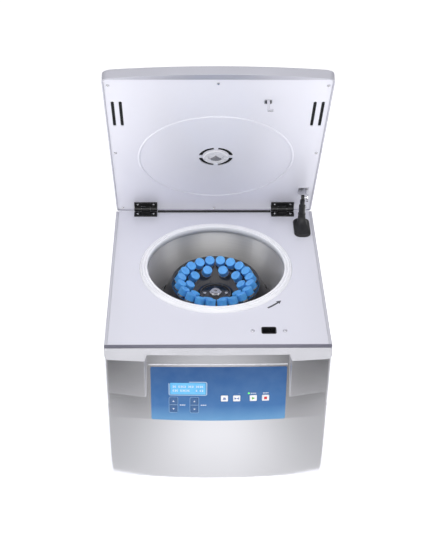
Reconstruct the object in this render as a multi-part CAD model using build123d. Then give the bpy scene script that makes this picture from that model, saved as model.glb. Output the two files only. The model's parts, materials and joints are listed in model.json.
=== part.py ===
from build123d import *
import math
import os

# Laboratory bench centrifuge with an angle rotor for conical tubes.
# Everything is drawn in millimetres around the middle of the top plate's front edge:
# X to the right, Y towards the back, Z up, with Z = 0 on the top plate.
# The last step moves all pieces so that the floor is Z = 0 and the model's box is centred.

# ---------------------------------------------------------------- driving dimensions
WIDTH = 430.0
DEPTH = 465.0
PLATE_HEIGHT = 336.0
SHEET = 2.0
FASCIA_DROP = 323.0
FASCIA_WALL = 3.5
FOOT_HEIGHT = 12.0
FOOT_RADIUS = 18.0

BOW_EDGE = 12.0
BOW_SAG = 15.0
BAND_DROP = 168.0
LEDGE_DROP = 6.0
LEDGE_SLOPE = 1.157
CONSOLE_TOP_Y = 9.4
CONSOLE_TOP_DROP = 16.0
WING_INNER_X = 139.0
WING_BOTTOM_DROP = 109.0

CHAMBER_Y = 253.0
BOWL_RADIUS = 143.5
BOWL_WALL = 1.5
BOWL_DEPTH = 170.0
GASKET_INNER_RADIUS = 140.0
GASKET_OUTER_RADIUS = 156.5
GUARD_RADIUS = 162.0
GUARD_WALL = 6.0

TUBE_TILT = 30.0
OUTER_RING_RADIUS = 70.0
OUTER_RING_DROP = 31.0
OUTER_COUNT = 20
INNER_RING_RADIUS = 51.5
INNER_RING_DROP = 42.0
INNER_COUNT = 10
CAP_RADIUS = 10.3
CAP_HEIGHT = 14.0
TUBE_RADIUS = 8.4
TUBE_END = 118.0
SLEEVE_RADIUS = 9.8
SLEEVE_BORE = 8.75
SLEEVE_LIP = 10.7
SLEEVE_TOP = 15.0
SLEEVE_END = 100.0
ROTOR_FACE = 16.0
SHAFT_RADIUS = 9.0

HINGE_HEIGHT = 6.0
HINGE_X = 149.5
HINGE_WIDTH = 50.0
KNUCKLE_RADIUS = 5.4
PIN_RADIUS = 2.5
PIN_CLEARANCE = 0.05
LID_OPEN_ANGLE = 60.6
LID_REACH = 491.0
LID_REAR = 18.0
LID_HALF_WIDTH = 214.0
LID_PLANE = 6.0
LID_BOW = 15.0
LID_EDGE = 23.0
LID_CROWN = 37.0
LID_WALL = 3.0
LID_RING_REACH = 207.0
PORT_REACH = 213.7

LOCK_X = 97.5
LOCK_Y = 42.5
LOCK_BOLT_RADIUS = 2.8
LOCK_BOLT_DROP = 5.6
LOCK_BOLT_X = 101.6

STRUT_X = 188.0
STRUT_REACH = 72.0
STRUT_OFFSET = -12.0
STRUT_FOOT_Y = 404.0
STRUT_FOOT_DROP = 236.0
STRUT_RADIUS = 7.0
STRUT_ROD_RADIUS = 3.6

MOTOR_TOP_DROP = 186.0
MOTOR_RADIUS = 58.0
MOTOR_LENGTH = 108.0

CENTRE_SHIFT_Y = -231.436

HALF = WIDTH / 2
BASE_DROP = PLATE_HEIGHT - FOOT_HEIGHT


# ---------------------------------------------------------------- helpers
def block(x0, x1, y0, y1, z0, z1):
    size = Box(x1 - x0, y1 - y0, z1 - z0)
    return Pos((x0 + x1) / 2, (y0 + y1) / 2, (z0 + z1) / 2) * size


def rod_z(x, y, z0, z1, radius):
    return Pos(x, y, (z0 + z1) / 2) * Cylinder(radius, z1 - z0)


def rod_y(x, y0, y1, z, radius):
    return Pos(x, (y0 + y1) / 2, z) * (Rot(90, 0, 0) * Cylinder(radius, y1 - y0))


def rod_x(x0, x1, y, z, radius):
    return Pos((x0 + x1) / 2, y, z) * (Rot(0, 90, 0) * Cylinder(radius, x1 - x0))


def spun(points, x=0.0, y=0.0):
    outline = Plane.XZ * make_face(Polyline(*points, close=True))
    return Pos(x, y, 0) * revolve(outline, Axis.Z)


def sectors(points, count, x=0.0, y=0.0):
    # A turned piece cut like a cake, with the middle of one sector on the X axis.
    outline = Plane.XZ * make_face(Polyline(*points, close=True))
    sweep = 360.0 / count
    wedge = Rot(0, 0, -sweep / 2) * revolve(outline, Axis.Z, revolution_arc=sweep)
    return [Pos(x, y, 0) * (Rot(0, 0, sweep * index) * wedge) for index in range(count)]


def rounded_plate(x0, x1, y0, y1, z0, z1, radius):
    outline = RectangleRounded(x1 - x0, y1 - y0, radius)
    return Pos((x0 + x1) / 2, (y0 + y1) / 2, z0) * extrude(outline, z1 - z0)


def group(pieces):
    solids = []
    for piece in pieces:
        solids.extend(piece.solids())
    return Compound(children=solids) if len(solids) > 1 else solids[0]


# ---------------------------------------------------------------- front surfaces
def bow(x):
    return BOW_EDGE + BOW_SAG * (1 - (x / HALF) ** 2)


def console_depth(x, drop):
    share = (drop - CONSOLE_TOP_DROP) / (BAND_DROP - CONSOLE_TOP_DROP)
    return CONSOLE_TOP_Y + (bow(x) - CONSOLE_TOP_Y) * share


def front_outline(drop, edge, middle, corner):
    back_left = (-HALF, 0)
    back_right = (HALF, 0)
    front_right = (HALF, -edge)
    front_left = (-HALF, -edge)
    sides = Polyline(front_left, back_left, back_right, front_right)
    front = ThreePointArc(front_right, (0, -middle), front_left)
    face = make_face([sides, front])
    corners = face.vertices().filter_by(lambda v: v.Y < -1.0)
    face = fillet(corners, corner)
    return Pos(0, 0, -drop) * face


def wing_outline(side, drop, inner_depth, outer_depth, corner):
    slant = 4.5
    points = [
        (side * WING_INNER_X, -inner_depth),
        (side * HALF, -outer_depth),
        (side * HALF, 0),
        (side * (WING_INNER_X - 2 * slant), 0),
    ]
    face = make_face(Polyline(*points, close=True))
    outer = face.vertices().filter_by(lambda v: v.Y < -1.0 and abs(v.X) > HALF - 1)
    face = fillet(outer, corner)
    return Pos(0, 0, -drop) * face


def front_frame(x, drop):
    # Local frame on the console: local X across, local Y up the slope, local Z out of the panel.
    run = BAND_DROP - CONSOLE_TOP_DROP
    tilt = math.degrees(math.atan2(bow(x) - CONSOLE_TOP_Y, run))
    turn = math.degrees(math.atan(2 * BOW_SAG * x / HALF ** 2 * 0.6))
    return Pos(x, -console_depth(x, drop), -drop) * Rot(0, 0, turn) * Rot(90 - tilt, 0, 0)


lower_outline = front_outline(FASCIA_DROP, BOW_EDGE, BOW_EDGE + BOW_SAG, 9.0)
lower_front = extrude(lower_outline, FASCIA_DROP - BAND_DROP)
console_front = loft(
    [
        front_outline(BAND_DROP, BOW_EDGE, BOW_EDGE + BOW_SAG, 9.0),
        front_outline(LEDGE_DROP, CONSOLE_TOP_Y - 1.1, CONSOLE_TOP_Y - 0.8, 6.0),
    ],
    ruled=True,
)
front_body = lower_front + console_front
cavity = Pos(0, FASCIA_WALL, 0) * front_body
cavity = cavity & block(-HALF + FASCIA_WALL, HALF - FASCIA_WALL, -60, 1, -FASCIA_DROP + 4, -24)
WING_TOP_OUTER = 15.0
WING_TOP_INNER = 17.0
WING_LOW_OUTER = 13.9
WING_LOW_INNER = 19.3
for side in (-1, 1):
    wing = loft(
        [
            wing_outline(side, LEDGE_DROP, WING_TOP_INNER, WING_TOP_OUTER, 8.0),
            wing_outline(side, WING_BOTTOM_DROP + 12, WING_LOW_INNER, WING_LOW_OUTER, 8.0),
        ],
        ruled=True,
    )
    under = Pos(side * 177, 0, -WING_BOTTOM_DROP - 30) * (Rot(0, side * -7.5, 0) * Box(120, 80, 60))
    wing = wing - under
    front_body = front_body + wing
bead_zone = block(-132, 132, -60, 0, -40.5, -38.0)
front_body = front_body + ((Pos(0, -0.9, 0) * console_front) & bead_zone)
ledge_reach = 60.0
ledge = make_face(
    Polyline(
        (1, -LEDGE_DROP + LEDGE_SLOPE),
        (-ledge_reach, -LEDGE_DROP - LEDGE_SLOPE * ledge_reach),
        (-ledge_reach, 20),
        (1, 20),
        close=True,
    )
)
ledge_cut = extrude(Plane.YZ * ledge, HALF + 10, both=True)
front_body = front_body - ledge_cut
corner_frame = extrude(Plane.XZ * Rectangle(WIDTH + 60, 2 * FASCIA_DROP), 60)
corner_keep = extrude(Plane.XZ * RectangleRounded(WIDTH, 2 * FASCIA_DROP, 10.0), 60)
fascia = front_body - cavity - (corner_frame - corner_keep)

# ---------------------------------------------------------------- control panel pieces
MEMBRANE_LEFT = -128.5
MEMBRANE_RIGHT = 131.0
MEMBRANE_TOP_DROP = 44.0
MEMBRANE_SKIN = 0.7
panel_shape = RectangleRounded(MEMBRANE_RIGHT - MEMBRANE_LEFT, BAND_DROP - 0.6 - MEMBRANE_TOP_DROP, 3.0)
panel_mid_x = (MEMBRANE_LEFT + MEMBRANE_RIGHT) / 2
panel_mid_z = -(MEMBRANE_TOP_DROP + BAND_DROP - 0.6) / 2
panel_prism = Pos(panel_mid_x, 0, panel_mid_z) * extrude(Plane.XZ * panel_shape, 60)
membrane = panel_prism & (Pos(0, -MEMBRANE_SKIN, 0) * console_front)
membrane = membrane - console_front

KEY_SIZE = 13.6
KEY_GAP = 0.35
KEY_PROUD = 1.4
KEY_STEM = 6.0
SQUARE_KEYS = {
    "key_light": 12.6,
    "key_pulse": 36.2,
    "key_start": 68.1,
    "key_stop": 91.8,
}
SQUARE_KEY_DROP = 115.5
ARROW_COLUMNS = {"key_speed": -85.4, "key_time": -45.1}
ARROW_ROWS = {"_up": 122.0, "_down": 140.2}
ARROW_KEY_HEIGHT = 15.2
WINDOW_X = -57.5
WINDOW_DROP = 93.0
WINDOW_WIDTH = 68.0
WINDOW_LENGTH = 26.5
LED_X = 59.3
LED_DROP = 104.0

key_spots = {}
for name, key_x in SQUARE_KEYS.items():
    key_spots[name] = (key_x, SQUARE_KEY_DROP, KEY_SIZE)
for name, key_x in ARROW_COLUMNS.items():
    for row, key_drop in ARROW_ROWS.items():
        key_spots[name + row] = (key_x, key_drop, ARROW_KEY_HEIGHT)

keys = {}
for name, (key_x, key_drop, key_height) in key_spots.items():
    place = front_frame(key_x, key_drop)
    hole = extrude(RectangleRounded(KEY_SIZE + 2 * KEY_GAP, key_height + 2 * KEY_GAP, 1.8), 12, both=True)
    fascia = fascia - place * hole
    membrane = membrane - place * hole
    shape = extrude(RectangleRounded(KEY_SIZE, key_height, 1.5), KEY_PROUD + KEY_STEM)
    shape = chamfer(shape.faces().sort_by(Axis.Z)[-1].edges(), 0.4)
    keys[name] = place * (Pos(0, 0, -KEY_STEM) * shape)

window_place = front_frame(WINDOW_X, WINDOW_DROP)
window = window_place * Pos(0, 0, -3.2) * extrude(RectangleRounded(WINDOW_WIDTH, WINDOW_LENGTH, 1.6), 4.2)
fascia = fascia - window
membrane = membrane - window
led_place = front_frame(LED_X, LED_DROP)
status_led = led_place * (Pos(0, 0, -4.0) * Cylinder(1.9, 10.4))
fascia = fascia - status_led
membrane = membrane - status_led

board = block(-124, 124, -3.6, -2.0, -160, -60)
board_parts = block(-93, -22, -8.0, -3.6, -107, -79)
control_board = board + board_parts
for column in range(4):
    chip_x = 8 + 28 * column
    control_board = control_board + block(chip_x, chip_x + 10, -5.6, -3.6, -90, -80)
for post_x in (-118, 118):
    for post_z in (-156, -64):
        control_board = control_board + rod_y(post_x, -2.0, 0.0, post_z, 3.0)

# ---------------------------------------------------------------- casing sheets
TRIM_DEPTH = 2.5
front_edge_trim = block(-HALF + 0.4, HALF - 0.4, -TRIM_DEPTH, 0, -LEDGE_DROP + 0.1, 0.6)
SEAM = 6.0
plate_half = HALF - SEAM - 0.25

side_panels = {}
for name, side in (("side_panel_left", -1), ("side_panel_right", 1)):
    outer = side * HALF
    inner = side * (HALF - SHEET)
    lip = side * (HALF - SEAM)
    wall = block(min(outer, inner), max(outer, inner), 0, DEPTH, -BASE_DROP, 0)
    top_lip = block(min(outer, lip), max(outer, lip), 0, DEPTH, -SHEET, 0)
    panel = wall + top_lip
    top_edge = panel.edges().filter_by(Axis.Y).sort_by(lambda e: -abs(e.center().X) - e.center().Z)[0]
    panel = fillet(top_edge, 1.6)
    side_panels[name] = panel

inside = HALF - SHEET - 0.2
base_plate = block(-inside, inside, 1.6, DEPTH - SHEET - 0.2, -BASE_DROP, -BASE_DROP + SHEET)
for side in (-1, 1):
    x_out = side * inside
    x_in = side * (inside - SHEET)
    upstand = block(min(x_out, x_in), max(x_out, x_in), 1.6, DEPTH - SHEET - 0.2, -BASE_DROP, -BASE_DROP + 16)
    base_plate = base_plate + upstand
for slot_index in range(9):
    vent_x = -64 + 16 * slot_index
    base_plate = base_plate - block(vent_x - 2.5, vent_x + 2.5, 90, 140, -BASE_DROP - 1, -BASE_DROP + 3)

FOOT_X = 170.0
FOOT_YS = (48.0, 420.0)
feet = []
for foot_x in (-FOOT_X, FOOT_X):
    for foot_y in FOOT_YS:
        foot = rod_z(foot_x, foot_y, -PLATE_HEIGHT, -BASE_DROP, FOOT_RADIUS)
        foot = chamfer(foot.edges().sort_by(Axis.Z)[0], 2.0)
        feet.append(foot)

front_bulkhead = block(-inside, inside, 0, 1.5, -BASE_DROP + 0.2, -SHEET - 0.1)
front_bulkhead = front_bulkhead - block(-20, 20, -1, 3, -115, -85)

# ---------------------------------------------------------------- top plate
top_plate = block(-plate_half, plate_half, 0, DEPTH, -SHEET, 0)
chamber_hole_radius = BOWL_RADIUS + BOWL_WALL + 0.4
top_plate = top_plate - rod_z(0, CHAMBER_Y, -SHEET - 1, 1, chamber_hole_radius)
LOCK_HALF_X = 12.5
LOCK_HALF_Y = 8.5
NECK = 0.9
lock_hole = rounded_plate(
    LOCK_X - LOCK_HALF_X - NECK,
    LOCK_X + LOCK_HALF_X + NECK,
    LOCK_Y - LOCK_HALF_Y - NECK,
    LOCK_Y + LOCK_HALF_Y + NECK,
    -SHEET - 1,
    1,
    3.0,
)
top_plate = top_plate - lock_hole
BOOT_X0 = STRUT_X - 18.0
BOOT_X1 = STRUT_X + 17.0
BOOT_Y0 = 362.0
BOOT_Y1 = 431.0
SLOT_HALF = 12.0
SLOT_Y0 = 374.0
SLOT_Y1 = 427.5
strut_slot = rounded_plate(STRUT_X - SLOT_HALF, STRUT_X + SLOT_HALF, SLOT_Y0, SLOT_Y1, -SHEET - 1, 1, 8.0)
top_plate = top_plate - strut_slot

ARROW_RADIUS = 171.3
ARROW_FROM = -54.5
ARROW_TO = -45.5
arrow_band = Pos(0, CHAMBER_Y, 0) * Cylinder(ARROW_RADIUS + 1.9, 0.5)
arrow_band = arrow_band - Pos(0, CHAMBER_Y, 0) * Cylinder(ARROW_RADIUS - 1.9, 2)
wedge_reach = 260.0
wedge_points = [(0, 0)]
for angle in (ARROW_FROM, ARROW_TO):
    angle_r = math.radians(angle)
    wedge_points.append((wedge_reach * math.cos(angle_r), wedge_reach * math.sin(angle_r)))
wedge = Pos(0, CHAMBER_Y, -1) * extrude(make_face(Polyline(*wedge_points, close=True)), 2)
arrow_stem = (arrow_band & wedge) & block(0, 300, 0, 300, 0, 1)
tip_r = math.radians(ARROW_TO)
tip_place = Pos(ARROW_RADIUS * math.cos(tip_r), CHAMBER_Y + ARROW_RADIUS * math.sin(tip_r), 0)
tip_face = make_face(Polyline((-5.2, -0.4), (5.2, -0.4), (0, 9.5), close=True))
arrow_tip = tip_place * (Rot(0, 0, ARROW_TO) * extrude(tip_face, 0.25))
rotation_arrow = arrow_stem + arrow_tip

# ---------------------------------------------------------------- chamber
gasket_points = [
    (GASKET_INNER_RADIUS, -15.0),
    (GASKET_INNER_RADIUS + 3.2, -15.0),
    (GASKET_INNER_RADIUS + 3.2, 0.0),
    (GASKET_OUTER_RADIUS - 0.4, 0.0),
    (GASKET_OUTER_RADIUS, 0.4),
    (GASKET_OUTER_RADIUS - 0.2, 1.6),
    (GASKET_OUTER_RADIUS - 1.0, 2.3),
    (GASKET_INNER_RADIUS + 12.4, 3.0),
    (GASKET_INNER_RADIUS + 11.8, 2.3),
    (GASKET_INNER_RADIUS + 10.8, 2.3),
    (GASKET_INNER_RADIUS + 9.6, 3.9),
    (GASKET_INNER_RADIUS + 7.6, 5.5),
    (GASKET_INNER_RADIUS + 4.8, 6.4),
    (GASKET_INNER_RADIUS + 2.2, 6.2),
    (GASKET_INNER_RADIUS + 0.6, 5.0),
    (GASKET_INNER_RADIUS + 0.0, 3.2),
]
SECTOR_COUNT = 16
FLOOR_SECTORS = 8
bowl_gasket = sectors(gasket_points, SECTOR_COUNT, 0, CHAMBER_Y)

# The bowl is pressed sheet. It is drawn in sectors so that its collision hulls follow the wall.
bowl_flange = BOWL_RADIUS + 13.0
NECK_HOLE = 27.0
NECK_RISE = 14.0
FLOOR_ROUND = 18.0
ROUND_STEPS = 6
floor_start = BOWL_RADIUS - FLOOR_ROUND
corner_height = -BOWL_DEPTH + FLOOR_ROUND


def corner_arc(radius):
    points = []
    for step in range(ROUND_STEPS + 1):
        angle_r = math.radians(-90 + 90 / ROUND_STEPS * step)
        points.append((floor_start + radius * math.cos(angle_r), corner_height + radius * math.sin(angle_r)))
    return points


wall_points = [
    (BOWL_RADIUS, corner_height),
    (BOWL_RADIUS, -SHEET),
    (bowl_flange, -SHEET),
    (bowl_flange, -SHEET - BOWL_WALL),
    (BOWL_RADIUS + BOWL_WALL, -SHEET - BOWL_WALL),
    (BOWL_RADIUS + BOWL_WALL, corner_height),
]
corner_points = corner_arc(FLOOR_ROUND) + list(reversed(corner_arc(FLOOR_ROUND + BOWL_WALL)))
floor_points = [
    (NECK_HOLE, -BOWL_DEPTH + NECK_RISE),
    (NECK_HOLE, -BOWL_DEPTH),
    (floor_start, -BOWL_DEPTH),
    (floor_start, -BOWL_DEPTH - BOWL_WALL),
    (NECK_HOLE - BOWL_WALL, -BOWL_DEPTH - BOWL_WALL),
    (NECK_HOLE - BOWL_WALL, -BOWL_DEPTH + NECK_RISE),
]
chamber_bowl = sectors(wall_points, SECTOR_COUNT, 0, CHAMBER_Y)
chamber_bowl = chamber_bowl + sectors(corner_points, SECTOR_COUNT, 0, CHAMBER_Y)
chamber_bowl = chamber_bowl + sectors(floor_points, FLOOR_SECTORS, 0, CHAMBER_Y)

guard_ring = rod_z(0, CHAMBER_Y, -158, -SHEET, GUARD_RADIUS + GUARD_WALL)
guard_ring = guard_ring - rod_z(0, CHAMBER_Y, -160, 0, GUARD_RADIUS)

# ---------------------------------------------------------------- drive below the chamber
motor_top = -MOTOR_TOP_DROP
motor_bottom = motor_top - MOTOR_LENGTH
motor_housing = rod_z(0, CHAMBER_Y, motor_bottom, motor_top, MOTOR_RADIUS)
for step in range(24):
    fin_angle = 15 * step
    groove = Pos(0, CHAMBER_Y, (motor_top + motor_bottom) / 2) * Rot(0, 0, fin_angle)
    motor_housing = motor_housing - groove * (Pos(MOTOR_RADIUS, 0, 0) * Box(6, 4, MOTOR_LENGTH - 24))
shaft_bore = SHAFT_RADIUS + PIN_CLEARANCE
motor_housing = motor_housing - rod_z(0, CHAMBER_Y, motor_top - 22, motor_top + 1, shaft_bore)
bracket_top = motor_bottom
bracket = rod_z(0, CHAMBER_Y, bracket_top - 4, bracket_top, MOTOR_RADIUS + 30)
for step in range(3):
    angle_r = math.radians(90 + 120 * step)
    mount_x = (MOTOR_RADIUS + 15) * math.cos(angle_r)
    mount_y = CHAMBER_Y + (MOTOR_RADIUS + 15) * math.sin(angle_r)
    bracket = bracket + rod_z(mount_x, mount_y, -BASE_DROP + SHEET, bracket_top - 4, 11.0)

# ---------------------------------------------------------------- rotor
tilt_r = math.radians(TUBE_TILT)
sin_t = math.sin(tilt_r)
cos_t = math.cos(tilt_r)


def along(ring_radius, ring_drop, reach):
    return (ring_radius + reach * sin_t, -ring_drop - reach * cos_t)


def seat(count, index, ring_radius, ring_drop):
    # Frame at a cap's top centre: local -Z runs down the tube.
    start = 90.0 + 180.0 / count
    turn = Rot(0, 0, start + 360.0 / count * index)
    return Pos(0, CHAMBER_Y, 0) * turn * Pos(ring_radius, 0, -ring_drop) * Rot(0, -TUBE_TILT, 0)


def seats(count, ring_radius, ring_drop, skip=None):
    places = []
    for index in range(count):
        if index != skip:
            places.append(seat(count, index, ring_radius, ring_drop))
    return places


PICK_INDEX = 12
outer_seats = seats(OUTER_COUNT, OUTER_RING_RADIUS, OUTER_RING_DROP, PICK_INDEX)
pick_seat = seat(OUTER_COUNT, PICK_INDEX, OUTER_RING_RADIUS, OUTER_RING_DROP)
inner_seats = seats(INNER_COUNT, INNER_RING_RADIUS, INNER_RING_DROP)
all_seats = outer_seats + [pick_seat] + inner_seats

face_r, face_z = along(OUTER_RING_RADIUS, OUTER_RING_DROP, ROTOR_FACE)
slope = math.tan(tilt_r)


def on_face(radius, lower=0.0):
    height = face_z + (radius - face_r) * slope
    return (radius + lower * sin_t, height - lower * cos_t)


FACE_PLATE = 5.0
HUB_RADIUS = 38.0
RIM_RADIUS = 92.0
SKIRT_LENGTH = 64.0
SKIRT_WALL = 3.0
hub_edge = on_face(HUB_RADIUS)
rim = on_face(RIM_RADIUS)
skirt_low = on_face(RIM_RADIUS, SKIRT_LENGTH)
skirt_in_low = (skirt_low[0] - SKIRT_WALL * cos_t, skirt_low[1] - SKIRT_WALL * sin_t)
rim_under = on_face(RIM_RADIUS, FACE_PLATE)
rim_in = (rim_under[0] - SKIRT_WALL * cos_t, rim_under[1] - SKIRT_WALL * sin_t)
hub_under = on_face(HUB_RADIUS, FACE_PLATE)
HUB_TUBE = 26.0
HUB_END = 150.0
upper_points = [
    (SHAFT_RADIUS, hub_edge[1]),
    hub_edge,
    rim,
    skirt_low,
    skirt_in_low,
    rim_in,
    hub_under,
    (HUB_TUBE + 5, hub_under[1] - 5),
    (HUB_TUBE, hub_under[1] - 14),
    (HUB_TUBE, -HUB_END),
    (SHAFT_RADIUS, -HUB_END),
]
rotor_body = spun(upper_points, 0, CHAMBER_Y)
LOWER_PLATE = 60.0
low_in = (HUB_TUBE - 1, on_face(HUB_TUBE - 1, 0)[1] - LOWER_PLATE / cos_t)
low_out_r = skirt_in_low[0] + 1.0
low_out = (low_out_r, on_face(low_out_r, 0)[1] - LOWER_PLATE / cos_t)
plate_drop = 3.5 / cos_t
lower_points = [
    low_in,
    low_out,
    (low_out[0] - 1.2, low_out[1] - plate_drop),
    (low_in[0], low_in[1] - plate_drop),
]
rotor_body = rotor_body + spun(lower_points, 0, CHAMBER_Y)
ridge = spun(
    [(29.0, hub_edge[1]), (30.0, hub_edge[1] + 2.2), (32.5, hub_edge[1] + 2.8), (34.5, hub_edge[1])],
    0,
    CHAMBER_Y,
)
rotor_body = rotor_body + ridge
bores = []
for place in all_seats:
    bores.append(place * (Pos(0, 0, -60) * Cylinder(SLEEVE_RADIUS, 96)))
    bores.append(place * (Pos(0, 0, 10 - ROTOR_FACE) * Cylinder(SLEEVE_LIP + 0.05, 20)))
rotor_body = rotor_body - bores
vent_cuts = []
for index in range(OUTER_COUNT):
    place = seat(OUTER_COUNT, index, OUTER_RING_RADIUS, OUTER_RING_DROP)
    vent_cuts.append(place * (Pos(14, 0, -46) * (Rot(0, 90, 0) * Cylinder(6.2, 14))))
rotor_body = rotor_body - vent_cuts

sleeve_wall = Pos(0, 0, -(SLEEVE_TOP + SLEEVE_END) / 2) * Cylinder(SLEEVE_RADIUS, SLEEVE_END - SLEEVE_TOP)
sleeve_lip = Pos(0, 0, -(SLEEVE_TOP + ROTOR_FACE) / 2) * Cylinder(SLEEVE_LIP, ROTOR_FACE - SLEEVE_TOP)
sleeve_hole = Pos(0, 0, -60) * Cylinder(SLEEVE_BORE, 120)
sleeve = sleeve_wall + sleeve_lip - sleeve_hole
tube_sleeves = []
for place in all_seats:
    tube_sleeves.append(place * sleeve)

CONE_START = 98.0
TUBE_HEAD = 2.2
tube = spun(
    [
        (TUBE_RADIUS - 1.0, -TUBE_HEAD),
        (TUBE_RADIUS, -TUBE_HEAD),
        (TUBE_RADIUS, -CONE_START),
        (3.2, -TUBE_END + 1.2),
        (1.8, -TUBE_END),
        (0, -TUBE_END),
        (0, -TUBE_END + 1.4),
        (2.2, -TUBE_END + 2.2),
        (TUBE_RADIUS - 1.0, -CONE_START),
    ]
)
CAP_BORE = TUBE_RADIUS + 0.05
cap = spun(
    [
        (0, 0),
        (CAP_RADIUS - 1.3, 0),
        (CAP_RADIUS - 0.4, -0.5),
        (CAP_RADIUS, -1.4),
        (CAP_RADIUS, -CAP_HEIGHT),
        (CAP_BORE, -CAP_HEIGHT),
        (CAP_BORE, -TUBE_HEAD + 0.1),
        (0, -TUBE_HEAD + 0.1),
    ]
)
rack_tubes = []
rack_caps = []
for place in outer_seats + inner_seats:
    rack_tubes.append(place * tube)
    rack_caps.append(place * cap)
pick_tube = pick_seat * tube
pick_cap = pick_seat * cap

hub_face = hub_edge[1]
drive_shaft = rod_z(0, CHAMBER_Y, motor_top - 20, hub_face + 1.0, SHAFT_RADIUS)
NUT_RADIUS = 13.0
rotor_nut = Pos(0, CHAMBER_Y, hub_face) * extrude(RegularPolygon(NUT_RADIUS, 6), 4.5)
rotor_nut = rotor_nut + rod_z(0, CHAMBER_Y, hub_face + 4.5, hub_face + 8.0, 9.0)
rotor_nut = rotor_nut - rod_z(0, CHAMBER_Y, hub_face - 1, hub_face + 1.0, SHAFT_RADIUS)
rotor_nut = rotor_nut - rod_z(0, CHAMBER_Y, hub_face + 3.0, hub_face + 9.0, 3.2)
hub_screws = []
for screw_x in (-22.5, 22.5):
    head = rod_z(screw_x, CHAMBER_Y, hub_face, hub_face + 2.2, 3.2)
    socket = Pos(screw_x, CHAMBER_Y, hub_face + 1.2) * extrude(RegularPolygon(1.6, 6), 2)
    hub_screws.append(head - socket)

# ---------------------------------------------------------------- lock
LOCK_RIM = 1.0
LOCK_FLOOR = 30.0


def lock_plate(margin, z0, z1, radius):
    return rounded_plate(
        LOCK_X - LOCK_HALF_X - margin,
        LOCK_X + LOCK_HALF_X + margin,
        LOCK_Y - LOCK_HALF_Y - margin,
        LOCK_Y + LOCK_HALF_Y + margin,
        z0,
        z1,
        radius,
    )


lock_body = block(LOCK_X - 22.5, LOCK_X + 22.5, 25, 92, -45, -SHEET)
lock_body = lock_body + lock_plate(NECK, -SHEET, 0, 3.0)
lock_body = lock_body + lock_plate(LOCK_RIM + NECK, 0, 0.8, 3.0 + LOCK_RIM)
lock_body = lock_body - lock_plate(0, -LOCK_FLOOR, 2, 0.8)
bolt_bore = LOCK_BOLT_RADIUS + PIN_CLEARANCE
lock_body = lock_body - rod_y(LOCK_BOLT_X, LOCK_Y, 93, -LOCK_BOLT_DROP, bolt_bore)
# The housing is built up from blocks that meet at the walls of the slot.
lock_x0 = LOCK_X - LOCK_HALF_X
lock_x1 = LOCK_X + LOCK_HALF_X
lock_y0 = LOCK_Y - LOCK_HALF_Y
lock_y1 = LOCK_Y + LOCK_HALF_Y
lock_cells = [
    block(0, lock_x0, 0, 100, -LOCK_FLOOR, 5),
    block(lock_x1, HALF, 0, 100, -LOCK_FLOOR, 5),
    block(lock_x0, lock_x1, 0, lock_y0, -LOCK_FLOOR, 5),
    block(lock_x0, lock_x1, lock_y1, 100, -LOCK_FLOOR, 5),
    block(0, HALF, 0, 100, -60, -LOCK_FLOOR),
]
lock_blocks = []
for cell in lock_cells:
    lock_blocks.append(lock_body & cell)
bolt_y0 = LOCK_Y + LOCK_HALF_Y + 0.5
lock_bolt = rod_y(LOCK_BOLT_X, bolt_y0, bolt_y0 + 34, -LOCK_BOLT_DROP, LOCK_BOLT_RADIUS)
lock_bolt = chamfer(lock_bolt.edges().sort_by(Axis.Y)[0], 0.8)
LOCK_SCREW_OFFSET = 31.0


def screw_z(x, y, z, radius=3.3, height=1.9, shank=0.0):
    head = rod_z(x, y, z, z + height, radius)
    head = fillet(head.edges().sort_by(Axis.Z)[-1], height * 0.6)
    cross = Pos(x, y, z + height) * (Box(radius * 1.1, 0.8, 1.6) + Box(0.8, radius * 1.1, 1.6))
    return head - cross


lock_screws = []
for side in (-1, 1):
    lock_screws.append(screw_z(LOCK_X + side * LOCK_SCREW_OFFSET, LOCK_Y - 2.0, 0.0, 4.1, 2.2))

# ---------------------------------------------------------------- hinges on the top plate
LEAF = 2.5
LEAF_FRONT = 443.0
KNUCKLE_HALF = 10.0
hinge_leaves_lower = []
hinge_pins = []
hinge_screws_lower = []
for side in (-1, 1):
    x_mid = side * HINGE_X
    leaf = rounded_plate(
        x_mid - HINGE_WIDTH / 2,
        x_mid + HINGE_WIDTH / 2,
        LEAF_FRONT,
        DEPTH - KNUCKLE_RADIUS - 0.6,
        0,
        LEAF,
        1.5,
    )
    arm = block(x_mid - KNUCKLE_HALF, x_mid + KNUCKLE_HALF, DEPTH - 12, DEPTH, 0.6, HINGE_HEIGHT)
    arm = arm - block(x_mid - 30, x_mid + 30, DEPTH - 13, DEPTH - KNUCKLE_RADIUS + 0.6, LEAF + 1.4, 20)
    knuckle = rod_x(x_mid - KNUCKLE_HALF, x_mid + KNUCKLE_HALF, DEPTH, HINGE_HEIGHT, KNUCKLE_RADIUS)
    leaf = leaf + arm + knuckle
    leaf = leaf - rod_x(x_mid - 30, x_mid + 30, DEPTH, HINGE_HEIGHT, PIN_RADIUS)
    hinge_leaves_lower.append(leaf)
    pin = rod_x(x_mid - HINGE_WIDTH / 2, x_mid + HINGE_WIDTH / 2, DEPTH, HINGE_HEIGHT, PIN_RADIUS)
    hinge_pins.append(pin)
    for screw_side in (-1, 1):
        hinge_screws_lower.append(screw_z(x_mid + screw_side * 17, LEAF_FRONT + 8, LEAF, 2.8, 1.4))

strip_half = HINGE_X - HINGE_WIDTH / 2 - 1.0
rear_strip = block(-strip_half, strip_half, DEPTH - 5.0, DEPTH - 0.5, 0, 3.0)
hinge_leaves_lower.append(rear_strip)

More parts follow.
